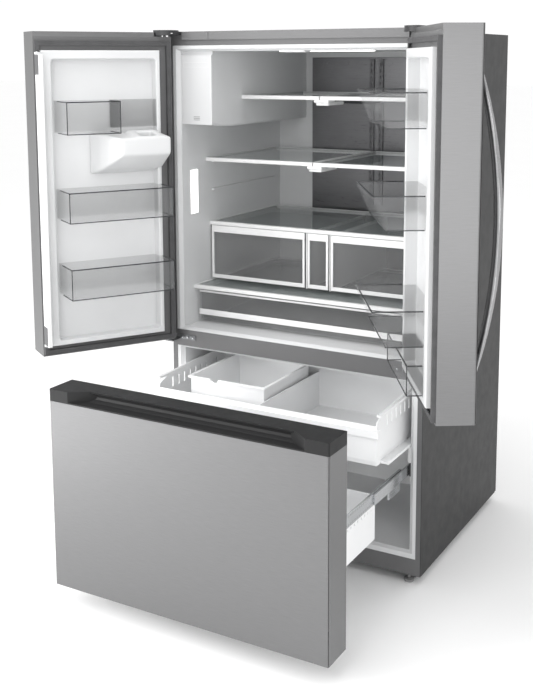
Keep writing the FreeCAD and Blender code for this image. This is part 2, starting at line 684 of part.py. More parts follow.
def make_shelves():
    wall = "cavity_half - 0.5"
    layout = [
        (("-ice_right + 1", "-2"), "shelf_upper_front", "shelf_upper"),
        (("2", wall), "shelf_upper_front", "shelf_upper"),
        ((f"-({wall})", "-2"), "shelf_lower_front", "shelf_lower"),
        (("2", wall), "shelf_lower_front", "shelf_lower"),
    ]
    glasses, trims = [], []
    for x, front, top in layout:
        glass, trim = shelf(x, front, top)
        glasses.append(glass)
        trims.append(trim)

    crisper = (f"-({wall})", wall)
    cover, cover_trim = shelf(crisper, "cover_front", "cover_top")
    deli, deli_trim = shelf(crisper, "deli_cover_front", "deli_cover_top")
    dividers = [
        block((x, f"{x} + divider"), ("cover_front + 4", "shelf_back"),
              ("crisper_low - 4", "crisper_top + 0.8"))
        for x in ("-36", "50.3")
    ]
    node("shelf_glass", "cabinet", *glasses, cover, deli)
    node("shelf_trims", "cabinet", *trims, cover_trim, deli_trim, *dividers)


def crisper(label, low, high):
    """A clear drawer with a white framed front."""
    x = (str(low), str(high))
    front = ("cover_front", "cover_front + crisper_face")
    z = ("crisper_low", "crisper_top")
    back = tub((str(low + 1), str(high - 1)), ("cover_front + 5", "drawer_back"),
               ("crisper_low + 2", "crisper_top - 8"), "drawer_wall")
    panel = cut(
        block(x, front, z),
        block((f"{low} + crisper_side", f"{high} - crisper_side"),
              ("cover_front - past", "cover_front + crisper_face - drawer_wall"),
              ("crisper_low + crisper_sill", "crisper_top - crisper_head")),
    )
    grip = block((f"{low} + 14", f"{high} - 14"), ("cover_front - past", "cover_front + 2"),
                 ("crisper_top - 9", "crisper_top - 6.5"))
    node(label, "cabinet", cut(join(back, panel), grip))


def make_drawers():
    crisper("crisper_left", -404, -40)
    crisper("crisper_middle", -29, 47)
    crisper("crisper_right", 57, 404)
    x = ("-deli_half", "deli_half")
    base = tub(("-deli_tub_half", "deli_tub_half"), ("deli_front + 4", "drawer_back"),
               ("fridge_floor + 4", "deli_top - 2"), "drawer_wall")
    rail = rounded(block(x, ("deli_front - 2", "deli_front + 12"), ("deli_rail_low", "deli_rail_top")), 3,
                   along("x", lambda p: p.y < d.deli_front))
    step = block(("-deli_half + deli_post", "deli_half - deli_post"),
                 ("deli_front + 14", "deli_front + 20"), ("fridge_floor + 3", "deli_rail_low + 1"))
    face = ("deli_front", "deli_front + deli_face")
    top = block(x, face, ("deli_top - 9", "deli_top"))
    posts = [
        block(ends, face, ("deli_rail_top - 1", "deli_top - 8"))
        for ends in (("-deli_half", "-deli_half + deli_post"), ("deli_half - deli_post", "deli_half"))
    ]
    inside = block(("-deli_tub_half + drawer_wall", "deli_tub_half - drawer_wall"),
                   ("deli_front + 6.4", "deli_front + 30"), ("deli_rail_low + 5", "deli_top + past"))
    node("deli_drawer", "cabinet", cut(join(base, rail, step, top, *posts), inside))


# ------------------------------------------------------------------ doors
def make_door(side, name, *fittings):
    u, v, z = ("0", "door_width"), ("0", "door_thick"), ("door_low", "door_top")
    thin = "sheet_metal"
    free = "dike_free_left" if side == LEFT else "dike_free_right"
    outer = rounded(door_block(side, u, v, z), d.door_round,
                    along("z", lambda p: p.y < -d.door_gap - d.door_thick + 1))
    hollow = door_block(side, (thin, f"door_width - {thin}"), (thin, f"door_thick - {thin}"),
                        (f"door_low + {thin}", f"door_top - {thin}"))
    window = door_block(side, ("dike_hinge - liner_fit", f"{free} + liner_fit"), ("-past", "past"),
                        ("dike_low - liner_fit", "dike_top + liner_fit"))
    hinge_x = f"{side} * (({HALF}) - hinge_inset)"
    hinge = (hinge_x, "-hinge_forward")
    bore = "hinge_pin + pin_clearance"
    blocks = [
        door_block(side, ("0.5", "72"), ("0.5", "84"), ("recess_floor - 34", "door_top - core_inset")),
        door_block(side, ("0.5", "40"), ("0.5", "60"), ("door_low + core_inset", "door_low + 32")),
    ]
    holes = [
        rod("z", "recess_radius", (*hinge, "recess_floor"), "40"),
        rod("z", bore, (*hinge, "recess_floor - 30"), "60"),
        rod("z", bore, (*hinge, "door_low - 5"), "30"),
        # room for the root of the top bracket beside the recess
        door_block(side, ("-1", "12"), ("-1", "30"), ("recess_floor", "door_top + 1")),
    ]
    fitted = overlap(join(*blocks), outer)
    shell = join(cut(outer, hollow, window), fitted)
    stud_x = f"{side} * (({HALF}) - handle_centre)"
    stud_heights = ("handle_low + stud_inset", "handle_top - stud_inset")
    fixings = [
        rod("y", "stud_radius + 0.05", (stud_x, "-door_gap - door_thick - past", z_hole), "past + 3")
        for z_hole in stud_heights
    ]
    holes.extend(fixings)
    if side == LEFT:
        holes.append(door_block(side, ("100", "300"), ("door_thick - 12", "door_thick + 8"),
                                ("990", "1395")))
    node(f"{name}_skin", name, cut(shell, *holes))

    recess = door_block(side, ("dike_hinge + border_hinge", f"{free} - border_free"),
                        ("-dike_height - past", "recess_depth - recess_wall"),
                        ("dike_low + border_low", "dike_top - border_top"))
    liner = cut(
        door_block(side, ("dike_hinge", free), ("-dike_height", "recess_depth"), ("dike_low", "dike_top")),
        rounded(recess, d.recess_round, along("y")),
    )
    crest = d.dike_height - d.door_gap - 1
    liner = rounded(liner, 4, lambda a, b: min(a.y, b.y) > crest)
    if side == LEFT:
        liner = cut(liner, door_block(side, ("90", "150"), ("0", "recess_depth + past"), ("1300", "1350")))
    node(f"{name}_liner", name, liner, *fittings)

    def seal(inset, v):
        return door_block(side, (f"gasket_hinge + {inset}", f"door_width - gasket_free - {inset}"), v,
                          (f"gasket_low + {inset}", f"gasket_top - {inset}"))

    ring = cut(
        seal("0", ("-gasket_thick", "-seat")),
        seal("gasket_width", ("-gasket_thick - past", "past")),
        seal("gasket_lip", ("-8", "-4")),
    )
    node(f"{name}_gasket", name, ring)

    y0, y1 = -d.door_gap - d.door_thick, -d.door_gap - d.door_thick - d.handle_reach
    middle = (d.handle_low + d.handle_top) / 2
    low_out, low_in = Vector(y0, d.handle_low, 0), Vector(y0, d.handle_low + d.handle_root, 0)
    top_out, top_in = Vector(y0, d.handle_top, 0), Vector(y0, d.handle_top - d.handle_root, 0)
    outer_arc = Part.Arc(low_out, Vector(y1, middle, 0), top_out)
    inner_arc = Part.Arc(low_in, Vector(y1 + d.handle_thick, middle, 0), top_in)
    ends = [Part.LineSegment(low_out, low_in), Part.LineSegment(top_out, top_in)]
    near = door_x(side, "handle_centre - handle_width / 2", "handle_centre + handle_width / 2")[0]
    bow = padded(f"{name}_bow", "YZ_Plane", [outer_arc, inner_arc, *ends], near, "handle_width")
    bow = bevelled(bow, d.handle_bevel, lambda a, b: abs(a.x - b.x) < 1 and abs(a.z - b.z) > 300)
    studs = [
        rod("y", "stud_radius", (stud_x, "-door_gap - door_thick - 2", z_hole), "10")
        for z_hole in stud_heights
    ]
    node(f"{name}_handle", name, join(bow, *studs))


def bin_shape(side, depth, foot, z_low, z_high, end):
    """A clear door bin: narrow where it sits in the liner, wider and tapered in front of it."""
    start = -d.door_gap + d.dike_height + 0.4

    def solid(wall, top):
        u0, u1 = f"bin_hinge_end + {wall}", f"{end} - {wall}"
        x = door_x(side, u0, u1)
        low = f"{z_low} + {wall}"
        front = f"-door_gap + {depth} - {wall}"
        lead = f"-door_gap + {foot} - {wall}"
        root = door_block(side, (f"dike_hinge + border_hinge + 1 + {wall}", u1),
                          ("-dike_height - 3.4", f"recess_depth - bin_seat - {wall}"), (low, top))
        wide = block(x, (f"{start} + {wall}", lead), (low, top))
        parts = [root, wide]
        if depth != foot:
            parts.append(taper((x[0], x[1], low, top), (x[0], x[1], f"{top} - bin_taper", top),
                               (f"{lead} - 1", front)))
        return join(*parts)

    return cut(solid("0", z_high), solid("bin_wall", f"{z_high} + 6"))


def door_tray(u, depth, low, top):
    """An open tray on the left door that reaches depth into the food compartment."""
    return cut(
        door_block(LEFT, u, (f"-({depth})", "recess_depth - bin_seat"), (low, top)),
        door_block(LEFT, (f"{u[0]} + bin_wall", f"{u[1]} - bin_wall"),
                   (f"-({depth}) + bin_wall", "recess_depth - bin_seat - bin_wall"),
                   (f"{low} + bin_wall", f"{top} + past")),
    )


def make_bins():
    for label, low, high in (("left_bin_lower", 876, 972), ("left_bin_middle", 1113, 1207)):
        node(label, "left_door", bin_shape(LEFT, "bin_depth_left", "bin_depth_left", str(low), str(high),
                                           "bin_free_end"))
    deep = door_tray(("tray_split", "bin_free_end"), "bin_depth_left", "tray_low", "tray_top")
    shallow = door_tray(("tray_hinge_end", "tray_split + bin_wall"), "dike_height + 1",
                        "tray_shallow_low", "tray_top")
    opening = door_block(LEFT, ("tray_split - 2", "tray_split + bin_wall + 1"),
                         ("-dike_height - 1 + bin_wall", "recess_depth - bin_seat - bin_wall"),
                         ("tray_shallow_low + bin_wall", "tray_top + past"))
    node("left_bin_upper", "left_door", cut(join(deep, shallow), opening))
    end = "dike_free_right - border_free - 1"
    for label, depth, foot, low, high in (
        ("right_bin_upper", "bin_depth_right", "bin_foot_right", 1430, 1522),
        ("right_bin_middle", "bin_depth_right", "bin_foot_right", 1172, 1262),
        ("right_bin_gallon", "bin_depth_right", "bin_foot_right", 868, 964),
        ("right_bin_lower", "small_bin_depth", "small_bin_depth", 738, 820),
    ):
        node(label, "right_door", bin_shape(RIGHT, depth, foot, str(low), str(high), end))


def make_dispenser():
    def at(v):
        return -d.door_gap - v

    left = -half
    rear = taper(
        (str(left + 62.4), str(left + 278), "1245", "1376"),
        (str(left + 62.4), str(left + 260), "1262", "1374"), (str(at(15)), str(at(-38.4))),
    )
    front = taper(
        (str(left + 52), str(left + 260), "1262", "1374"),
        (str(left + 54), str(left + 216), "1312", "1366"), (str(at(-38.4)), str(at(-118))),
    )
    lid = taper(
        (str(left + 70), str(left + 172), "1366", "1386"),
        (str(left + 70), str(left + 172), "1360", "1368"), (str(at(-30)), str(at(-118))),
    )
    chute = block((str(left + 95), str(left + 145)), (str(at(-50)), str(at(-100))), ("1320", "1420"))
    drop = block((str(left + 95), str(left + 145)), (str(at(20)), str(at(-100))), ("1305", "1345"))
    node("dispenser_housing", "left_door", cut(join(rear, front, lid), chute, drop))

    across, height = ("well_near", "well_far"), ("well_low", "well_top")
    bezel = cut(
        door_block(LEFT, ("bezel_near", "bezel_far"), ("door_thick + seat", "door_thick + 3"),
                   ("bezel_low", "bezel_top")),
        door_block(LEFT, across, ("-5", "door_thick + 9"), height),
    )
    well = cut(
        door_block(LEFT, ("well_near - well_wall", "well_far + well_wall"),
                   ("well_back - well_wall", "door_thick + 1"),
                   ("well_low - well_wall", "well_top + well_wall")),
        door_block(LEFT, across, ("well_back", "door_thick + 9"), height),
    )
    spout = door_block(LEFT, ("180", "220"), ("55", "85"), ("well_top - 25", "well_top + 1"))
    core = door_block(LEFT, ("bezel_near + 6", "bezel_far - 6"), ("60", "door_thick + 1"),
                      ("well_top + 6", "bezel_top - 10"))
    bore = door_block(LEFT, ("190", "210"), ("62", "78"), ("well_top - 50", "well_top - 1"))
    fascia = cut(join(bezel, well, spout, core), bore)
    tray = cut(
        door_block(LEFT, ("well_near + 1", "well_far - 1"), ("well_back + 1.5", "door_thick + 1"),
                   ("well_low + 0.3", "well_low + 10")),
        door_block(LEFT, ("well_near + 5", "well_far - 5"), ("well_back + 5.5", "door_thick - 3"),
                   ("well_low + 2", "well_low + 15")),
    )
    bars = [
        door_block(LEFT, (str(u), str(u + 3)), ("36", "door_thick - 1"), ("well_low + 5.5", "well_low + 9"))
        for u in range(128, 272, 9)
    ]
    node("drip_tray", "left_door", join(tray, *bars))
    shaft_radius, overhang = 3, 11
    pivot = (f"-({HALF}) + paddle_near - {overhang}", "-door_gap - paddle_v", "paddle_z")
    shaft = rod("x", shaft_radius, pivot, f"paddle_far - paddle_near + {2 * overhang}")
    plate = door_block(LEFT, ("paddle_near", "paddle_far"), ("paddle_v - 2.5", "paddle_v + 1.5"),
                       ("paddle_z - 102", "paddle_z"))
    node("dispenser_paddle", "left_door", join(shaft, plate))
    ears = []
    for near in (f"paddle_near - {overhang} + 0.5", f"paddle_far + {overhang} - 0.5 - ear"):
        plate = door_block(LEFT, (near, f"{near} + ear"), ("well_back - 0.1", "paddle_v + 5"),
                           ("paddle_z - 7", "paddle_z + 7"))
        hole = rod("x", f"{shaft_radius} + 0.05", (f"-({HALF}) + {near} - 1", *pivot[1:]), "ear + 2")
        ears.append(cut(plate, hole))
    node("dispenser_fascia", "left_door", fascia, *ears)


def make_flip_mullion():
    """The hinged bar on the left door that fills the gap between the doors.  At rest it is folded."""
    u0 = "door_width - 0.2 - mullion_thick"
    inner_v, outer_v = "-door_gap - 0.3", "-door_gap - 0.3 - mullion_span"
    bar = door_block(LEFT, (u0, "door_width - 0.2"), (outer_v, inner_v), ("mullion_low", "mullion_top"))
    bar = rounded(bar, 2, along("z", lambda p: p.y > d.mullion_span - 2))
    # the edges beside the pivot swing past the door's seal, so they are nearly half round
    bar = rounded(bar, d.mullion_round, along("z", lambda p: p.y < 1))
    pivot = (f"-({HALF}) + door_width - 0.2 - mullion_thick / 2",
             "0.3 + mullion_thick / 2")
    pins = [rod("z", "mullion_pin", (*pivot, z), "16") for z in ("mullion_low - 8", "mullion_top - 8")]
    node("flip_mullion", "left_door", join(bar, *pins))
    ears = []
    for z in ("mullion_low - 6.4", "mullion_top + 0.4"):
        plate = door_block(LEFT, ("dike_free_left + 0.1", "door_width - 0.4"),
                           ("-door_gap - mullion_thick - 0.1", "-door_gap - 0.3"), (z, f"{z} + 6"))
        ears.append(cut(plate, rod("z", "mullion_pin + pin_clearance", (*pivot, f"{z} - 5"), "16")))
    return ears


# ------------------------------------------------------------------ freezer drawer
def slide_x(side, inner, outer):
    """The x range of a bar between two distances from the middle plane, on one side."""
    low, high = sorted((side * inner, side * outer))
    return str(low), str(high)


def make_freezer():
    x = ("-front_half", "front_half")
    y = ("-door_gap - front_thick", "-door_gap")
    thin = "sheet_metal"
    skin = cut(
        rounded(block(x, y, ("front_low", "steel_top")), d.front_round,
                along("z", lambda p: p.y < -d.door_gap - d.front_thick + 1)),
        block((f"-front_half + {thin}", f"front_half - {thin}"),
              (f"{y[0]} + {thin}", f"{y[1]} - {thin}"), (f"front_low + {thin}", "steel_top + past")),
        block(("-front_liner_half - liner_fit", "front_liner_half + liner_fit"),
              ("-door_gap - past", "past"),
              ("front_liner_low - liner_fit", "front_liner_top + liner_fit")),
    )
    node("drawer_front_skin", "freezer_drawer", skin)

    cap = block(x, y, ("steel_top + seat", "cap_top"))
    cap = rounded(cap, d.cap_round, along("z", lambda p: p.y < -d.door_gap - d.front_thick + 1))
    face = -d.door_gap - d.front_thick
    floor, top = d.steel_top + 4, d.cap_top
    side_profile = [
        (face - 2, floor), (face + 34, floor), (face + 46, floor + 7), (face + 49, floor + 14),
        (face + 47, floor + 21), (face + 37, top - 5), (face + 35, top + 3), (face - 2, top + 3),
    ]
    scoop = padded("scoop_side", "YZ_Plane", polygon(side_profile), "-front_half", "front_half * 2")
    reach, short = 388, 300
    plan = [(-reach, face - 3), (reach, face - 3), (short, face + 60), (-short, face + 60)]
    plan = padded("scoop_plan", "XY_Plane", polygon(plan), "steel_top", "60")
    node("drawer_cap", "freezer_drawer", cut(cap, overlap(scoop, plan)))

    liner = cut(
        block(("-front_liner_half", "front_liner_half"),
              ("-door_gap - front_liner_root", "-door_gap + liner_reach"),
              ("front_liner_low", "front_liner_top")),
        block(("-front_pan_half", "front_pan_half"),
              ("-door_gap - front_liner_root + 3", "liner_reach + past"),
              ("front_pan_low", "front_pan_top")),
    )
    liner = rounded(liner, 4, lambda a, b: min(a.y, b.y) > d.liner_reach - d.door_gap - 1)
    node("drawer_front_liner", "freezer_drawer", liner)

    def seal(inset, y_range):
        return block((f"-seal_half + {inset}", f"seal_half - {inset}"), y_range,
                     (f"seal_low + {inset}", f"seal_top - {inset}"))

    ring = cut(
        seal("0", ("-door_gap + seat", "-0.6")),
        seal("seal_width", ("-door_gap - past", "past")),
        seal("seal_lip", ("-8", "-4")),
    )
    node("drawer_gasket", "freezer_drawer", ring)

    # each slide member: its body, its inner and outer x, and its inset in height
    members = {
        "drawer_slides": ("freezer_drawer", 392.5, 399, 3),
        "middle_slides": ("slide_middle", 399.6, 405.2, 5),
        "fixed_slides": ("cabinet", 405.8, 411.7, 0),
    }
    for label, (stand, inner, outer, inset) in members.items():
        height = (f"slide_low + {inset}", f"slide_top - {inset}")
        bars = []
        for side in (LEFT, RIGHT):
            across = slide_x(side, inner, outer)
            bar = block(across, ("slide_start", "slide_start + slide_length"), height)
            if label == "drawer_slides":
                groove = block(slide_x(side, inner - 1, inner + 2),
                               ("0", "slide_start + slide_length + past"), ("groove_low", "groove_top"))
                hook = block(across, ("hook_front", "hook_back"),
                             ("slide_low - hook_drop", "slide_low + 4"))
                tie = block(across, ("liner_reach - door_gap + seat", "slide_start + 1"), height)
                bar = join(cut(bar, groove), hook, tie)
            bars.append(bar)
            if label == "fixed_slides":
                bars.append(block(slide_x(side, d.ledge_inner, d.cavity_half - 0.2),
                                  ("slide_start", "ledge_back"), ("ledge_low", "ledge_top")))
        node(label, stand, *bars)

    front, back = d.upper_basket_front, d.upper_basket_back

    low, side = d.basket_low, d.basket_side

    def profile(wall):
        """The basket's side view.  The inside, a wall smaller, runs out above the open top."""
        lift = 9 * wall
        return [
            (front + 3 + wall, low + wall), (front + wall, low + 14), (front + wall, side - 52 + lift),
            (front + 6 + wall, side - 27 + lift), (front + 60, side - 9 + lift), (front + 200, side + lift),
            (back - wall, side + lift), (back - wall, low + wall),
        ]

    outer = padded("basket_outer", "YZ_Plane", polygon(profile(0)), "-basket_half", "2 * basket_half")
    inner = padded("basket_inner", "YZ_Plane", polygon(profile(d.basket_wall)),
                   "-basket_half + basket_wall", "2 * (basket_half - basket_wall)")
    slots = []
    for y0 in spread(9, front + 60, back - 40):
        slots.append(block(("-basket_half - past", "basket_half + past"),
                           (str(y0 - 3.5), str(y0 + 3.5)), ("slot_low", "slot_top")))
    rim_front = block(("-rim_half", "rim_half"), (str(front - 9), str(front + 6)), ("rim_low", "rim_top"))
    rims = [block(x_range, (str(front + 6), str(back)), ("584", "590"))
            for x_range in (("-rim_half", "-basket_half + basket_wall - 0.2"),
                            ("basket_half - basket_wall + 0.2", "rim_half"))]
    rails = [block(x_range, (str(front + 30), str(back)), ("basket_low", "rail_top"))
             for x_range in (("-rail_half", "-basket_half + 2"), ("basket_half - 2", "rail_half"))]
    divider = block(("-8", "-5"), (str(front + 2), str(back - 2)), ("440", "560"))
    basket = join(cut(outer, inner, *slots), rim_front, *rims, *rails, divider)
    node("upper_basket", "upper_basket", basket)

    ice = join(
        tub(("ice_left", "ice_inner"), (str(front + 44), str(front + 340)), ("ice_floor", "ice_top"),
            "ice_wall"),
        cut(block(("ice_left - 8", "ice_inner + 6.5"), (str(front + 38), str(front + 346)),
                  ("ice_top - 6", "ice_top")),
            block(("ice_left + 2", "ice_inner - 2"), (str(front + 46), str(front + 338)),
                  ("ice_top - 20", "ice_top + past"))),
    )
    notch = rod("y", "16", ("-196", str(front + 30), "604"), "20")
    node("ice_bin", "upper_basket", cut(ice, notch))

    deep = ("lower_basket_front", "lower_basket_back")
    shell = tub(("-lower_half", "lower_half"), deep, ("lower_basket_low", "lower_basket_top"),
                "basket_wall")
    slots = [block(("-lower_half - past", "lower_half + past"), (str(y0 - 3), str(y0 + 3)), ("302", "318"))
             for y0 in spread(12, 60, 330)]
    wings = [block(x_range, deep, ("lower_basket_top - wing_thick", "lower_basket_top"))
             for x_range in (("-wing_half", "-lower_half + 2"), ("lower_half - 2", "wing_half"))]
    node("lower_basket", "freezer_drawer", join(cut(shell, *slots), *wings))


# ------------------------------------------------------------------ build, test and write
make_case()
make_liners(make_top())
make_base()
make_cooling()
make_ice_maker()
make_shelves()
make_drawers()
make_door(LEFT, "left_door", *make_flip_mullion())
make_door(RIGHT, "right_door")
make_bins()
make_dispenser()
make_freezer()
doc.recompute()

faults = [thing.Name for thing in doc.Objects if set(thing.State) & {"Invalid", "Error"}]
faults += [n.Label for n in nodes if n.Shape.isNull() or not n.Shape.isValid() or not n.Shape.Solids]
if faults:
    raise SystemExit(f"not built: {faults}")

os.makedirs("parts", exist_ok=True)
for old in os.listdir("parts"):
    os.remove(os.path.join("parts", old))
for n in nodes:
    n.Shape.exportStep(f"parts/{n.Label}.step")
print(len(nodes), "nodes")
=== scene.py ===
"""Looks of the french door refrigerator: materials, fine detail, light and camera.

Metres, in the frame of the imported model: X to the right, Y to the back, Z up.  Door details are
laid out as if the doors were shut and are then turned to where they stand at rest.
"""

import json
import math

import bmesh
import bpy
from mathutils import Matrix, Vector


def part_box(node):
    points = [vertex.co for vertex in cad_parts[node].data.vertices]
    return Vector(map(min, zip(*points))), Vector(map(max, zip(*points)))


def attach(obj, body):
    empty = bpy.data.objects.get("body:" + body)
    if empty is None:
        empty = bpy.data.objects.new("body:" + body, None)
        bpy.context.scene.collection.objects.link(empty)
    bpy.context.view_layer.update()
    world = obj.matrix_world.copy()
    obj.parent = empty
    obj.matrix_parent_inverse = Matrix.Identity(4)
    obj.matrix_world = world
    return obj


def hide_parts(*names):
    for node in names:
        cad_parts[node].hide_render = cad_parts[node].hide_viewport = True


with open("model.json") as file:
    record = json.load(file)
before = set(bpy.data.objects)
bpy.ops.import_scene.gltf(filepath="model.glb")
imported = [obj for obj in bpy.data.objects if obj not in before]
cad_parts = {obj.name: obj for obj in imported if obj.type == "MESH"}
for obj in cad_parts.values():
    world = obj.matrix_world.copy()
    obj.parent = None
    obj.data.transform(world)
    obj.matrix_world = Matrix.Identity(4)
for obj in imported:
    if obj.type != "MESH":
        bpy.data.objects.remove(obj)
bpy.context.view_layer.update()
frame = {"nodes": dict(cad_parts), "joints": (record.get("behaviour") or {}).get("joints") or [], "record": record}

MM = 0.001
LEFT, RIGHT = -1, 1
DOORS = {LEFT: "left_door", RIGHT: "right_door"}
BINS = (
    "left_bin_lower", "left_bin_middle", "left_bin_upper", "right_bin_lower", "right_bin_gallon",
    "right_bin_middle", "right_bin_upper",
)
JOINTS = {joint["name"]: joint for joint in frame["joints"]}


# ------------------------------------------------------------------ shader building
class Shader:
    """A material's node tree, with one Principled shader and the few node chains used below."""

    def __init__(self, name, roughness=0.5, metallic=0.0):
        self.material = bpy.data.materials.new(name)
        self.material.use_nodes = True
        self.tree = self.material.node_tree
        self.main = self.tree.nodes["Principled BSDF"]
        self.main.inputs["Roughness"].default_value = roughness
        self.main.inputs["Metallic"].default_value = metallic
        self.place = self.node("ShaderNodeTexCoord").outputs["Object"]

    def node(self, kind, **settings):
        made = self.tree.nodes.new(kind)
        for key, value in settings.items():
            setattr(made, key, value)
        return made

    def link(self, source, target):
        self.tree.links.new(source, target)

    def set(self, **values):
        for key, value in values.items():
            self.main.inputs[key.replace("_", " ")].default_value = value

    def stretched(self, x, y, z):
        mapping = self.node("ShaderNodeMapping")
        mapping.inputs["Scale"].default_value = (x, y, z)
        self.link(self.place, mapping.inputs["Vector"])
        return mapping.outputs["Vector"]

    def noise(self, scale, detail=3.0, vector=None):
        texture = self.node("ShaderNodeTexNoise")
        texture.inputs["Scale"].default_value = scale
        texture.inputs["Detail"].default_value = detail
        self.link(vector or self.place, texture.inputs["Vector"])
        return texture.outputs["Fac"]

    def cells(self, scale):
        texture = self.node("ShaderNodeTexVoronoi")
        texture.inputs["Scale"].default_value = scale
        self.link(self.place, texture.inputs["Vector"])
        return texture

    def remap(self, value, low, high, start=0.3, end=0.7):
        made = self.node("ShaderNodeMapRange")
        for socket, number in (("From Min", start), ("From Max", end), ("To Min", low), ("To Max", high)):
            made.inputs[socket].default_value = number
        self.link(value, made.inputs["Value"])
        return made.outputs["Result"]

    def blend(self, factor, first, second):
        made = self.node("ShaderNodeMix", data_type="RGBA")
        self.link(factor, made.inputs["Factor"])
        made.inputs["A"].default_value = (*first, 1)
        made.inputs["B"].default_value = (*second, 1)
        return made.outputs["Result"]

    def colour(self, factor, first, second):
        self.link(self.blend(factor, first, second), self.main.inputs["Base Color"])

    def rough(self, factor, low, high):
        self.link(self.remap(factor, low, high), self.main.inputs["Roughness"])

    def bump(self, height, strength, depth):
        made = self.node("ShaderNodeBump")
        made.inputs["Strength"].default_value = strength
        made.inputs["Distance"].default_value = depth
        self.link(height, made.inputs["Height"])
        self.link(made.outputs["Normal"], self.main.inputs["Normal"])


def tint(colour, factor):
    return tuple(min(1.0, c * factor) for c in colour)


def brushed(name, colour, roughness, across=1300.0, depth=0.00001):
    """Steel with a fine horizontal grain: noise that is long in X and Y and short in Z."""
    along, streak = 26, 0.07
    made = Shader(name, roughness, metallic=1.0)
    grain = made.noise(scale=1.0, detail=4.0, vector=made.stretched(along, along, across))
    made.colour(made.remap(grain, low=0, high=1), tint(colour, 1 - streak), tint(colour, 1 + streak))
    made.rough(grain, low=roughness - 0.03, high=roughness + 0.05)
    made.bump(grain, strength=0.1, depth=depth)
    made.set(Anisotropic=0.5)
    return made.material


def plastic(name, colour, roughness, vary=0.02):
    """Moulded plastic: a fine even texture, and slow drifts of colour and gloss."""
    made = Shader(name, roughness)
    drift = made.remap(made.noise(scale=6.0), low=0, high=1)
    made.colour(drift, tint(colour, 1 - vary), tint(colour, 1 + vary))
    made.rough(made.noise(scale=9.0, detail=1.0), low=roughness - 0.015, high=roughness + 0.02)
    made.bump(made.noise(scale=420.0, detail=2.0), strength=0.1, depth=0.00002)
    return made.material


def painted(name, colour, roughness, coat=0.15, shine=0.5):
    """Powder-coated sheet: orange peel under a thin clear gloss."""
    made = Shader(name, roughness)
    made.colour(made.remap(made.noise(scale=5.0), low=0, high=1), tint(colour, 0.96), tint(colour, 1.04))
    made.rough(made.noise(scale=30.0), low=roughness - 0.03, high=roughness + 0.04)
    made.bump(made.noise(scale=900.0, detail=2.0), strength=0.15, depth=0.00003)
    made.set(Coat_Weight=coat, Coat_Roughness=0.3, Specular_IOR_Level=shine)
    return made.material


def zinc(name, colour, roughness):
    """Galvanised sheet, with the pale and dark facets of its spangle."""
    made = Shader(name, roughness, metallic=0.9)
    spangle = made.cells(scale=70.0).outputs["Distance"]
    facets = made.remap(spangle, low=0, high=1, start=0, end=0.6)
    made.colour(facets, tint(colour, 1.1), tint(colour, 0.82))
    made.rough(spangle, low=roughness - 0.06, high=roughness + 0.1)
    made.bump(made.noise(scale=260.0), strength=0.15, depth=0.0001)
    return made.material


def rubber(name, colour):
    """Matt rubber, slightly uneven in colour."""
    made = Shader(name, roughness=0.7)
    made.colour(made.remap(made.noise(scale=30.0), low=0, high=1), tint(colour, 0.85), tint(colour, 1.15))
    made.rough(made.noise(scale=80.0), low=0.6, high=0.8)
    made.bump(made.noise(scale=1500.0), strength=0.3, depth=0.00005)
    return made.material


def clear(name, colour, opacity, roughness=0.05):
    """See-through plastic or glass, with faint flow lines and handling haze."""
    made = Shader(name, roughness)
    made.set(Alpha=opacity, IOR=1.5)
    flow = made.noise(scale=1.0, detail=2.0, vector=made.stretched(5, 5, 30))
    made.colour(made.remap(flow, low=0, high=1), tint(colour, 0.92), tint(colour, 1.05))
    made.rough(made.noise(scale=14.0), low=roughness, high=roughness + 0.06)
    made.bump(flow, strength=0.05, depth=0.0002)
    return made.material


def foam(name, colour):
    """Rigid insulating foam with a bubbled skin."""
    made = Shader(name, roughness=0.95)
    bubbles = made.cells(scale=260.0).outputs["Distance"]
    made.colour(made.remap(made.noise(scale=12.0), low=0, high=1), tint(colour, 0.85), tint(colour, 1.1))
    made.bump(bubbles, strength=0.7, depth=0.0008)
    return made.material


def lamp(name, colour, strength):
    """A frosted light lens, slightly uneven in colour."""
    made = Shader(name, roughness=0.35)
    made.colour(made.remap(made.noise(scale=25.0), low=0, high=1), tint(colour, 0.95), colour)
    made.set(Emission_Color=(*colour, 1), Emission_Strength=strength)
    made.bump(made.noise(scale=500.0), strength=0.2, depth=0.0001)
    return made.material


